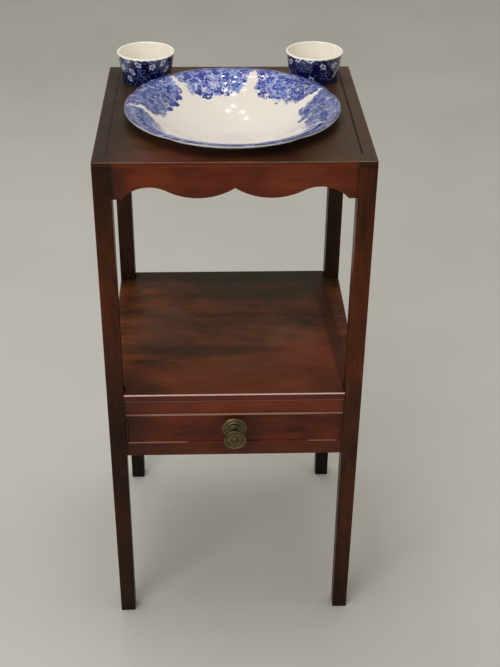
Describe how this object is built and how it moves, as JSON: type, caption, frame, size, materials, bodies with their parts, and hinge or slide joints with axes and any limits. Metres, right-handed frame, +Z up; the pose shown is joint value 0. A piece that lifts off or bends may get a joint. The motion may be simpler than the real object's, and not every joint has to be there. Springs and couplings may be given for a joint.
{
  "type": "washstand",
  "caption": "Square mahogany washstand with a pierced top for a basin and beakers, shaped aprons, a shelf and a drawer under it.",
  "frame": {"origin": "on the floor, under the middle of the stand's box with the knob counted in", "axes": "+Z up, -Y the way the drawer opens, +X to the right as seen from the front"},
  "size_m": [0.341, 0.3656, 0.772],
  "materials": {
    "leg_mahogany": "old wax polish, dark",
    "apron_mahogany": "old french polish, red brown",
    "back_mahogany": "thin dull polish",
    "case_mahogany": "old french polish",
    "drawer_mahogany": "old french polish",
    "top_mahogany": "worn polish, slightly bloomed",
    "shelf_mahogany": "old french polish, satin",
    "inner_oak": "raw, dusty",
    "drawer_oak": "raw, smooth",
    "old_brass": "dull, tarnished",
    "iron": "dark, slightly rusted",
    "basin_glaze": "clear gloss glaze over a blue floral pattern",
    "beaker_glaze": "clear gloss glaze, deep blue with small white flowers"
  },
  "bodies": {
    "stand": {"leg_front_left": "leg_mahogany", "leg_front_right": "leg_mahogany", "leg_back_left": "leg_mahogany", "leg_back_right": "leg_mahogany", "top_board": "top_mahogany", "apron_front": "apron_mahogany", "apron_back": "back_mahogany", "apron_left": "apron_mahogany", "apron_right": "apron_mahogany", "top_glue_blocks": "inner_oak", "shelf_board": "shelf_mahogany", "upper_rail": "case_mahogany", "lower_rail": "case_mahogany", "case_side_left": "case_mahogany", "case_side_right": "case_mahogany", "case_back": "back_mahogany", "runner_left": "inner_oak", "runner_right": "inner_oak", "kicker_left": "inner_oak", "kicker_right": "inner_oak", "guide_left": "inner_oak", "guide_right": "inner_oak", "drawer_stops": "inner_oak"},
    "drawer": {"drawer_front": "drawer_mahogany", "drawer_bead_top": "drawer_mahogany", "drawer_bead_bottom": "drawer_mahogany", "drawer_bead_left": "drawer_mahogany", "drawer_bead_right": "drawer_mahogany", "drawer_side_left": "drawer_oak", "drawer_side_right": "drawer_oak", "drawer_back": "drawer_oak", "drawer_bottom": "drawer_oak", "drawer_nails": "iron", "knob_rose": "old_brass", "knob": "old_brass", "knob_bolt": "iron", "knob_nut": "iron"},
    "basin": {"basin": "basin_glaze"},
    "cup_left": {"cup_left": "beaker_glaze"},
    "cup_right": {"cup_right": "beaker_glaze"}
  },
  "joints": [
    {"name": "drawer_slide", "type": "slide", "parent": "stand", "child": "drawer", "axis": [0, -1, 0], "range_m": [0, 0.23]},
    {"name": "basin_lift", "type": "slide", "parent": "stand", "child": "basin", "axis": [0, 0, 1], "range_m": [0, 0.1]},
    {"name": "cup_left_lift", "type": "slide", "parent": "stand", "child": "cup_left", "axis": [0, 0, 1], "range_m": [0, 0.06]},
    {"name": "cup_right_lift", "type": "slide", "parent": "stand", "child": "cup_right", "axis": [0, 0, 1], "range_m": [0, 0.06]}
  ]
}
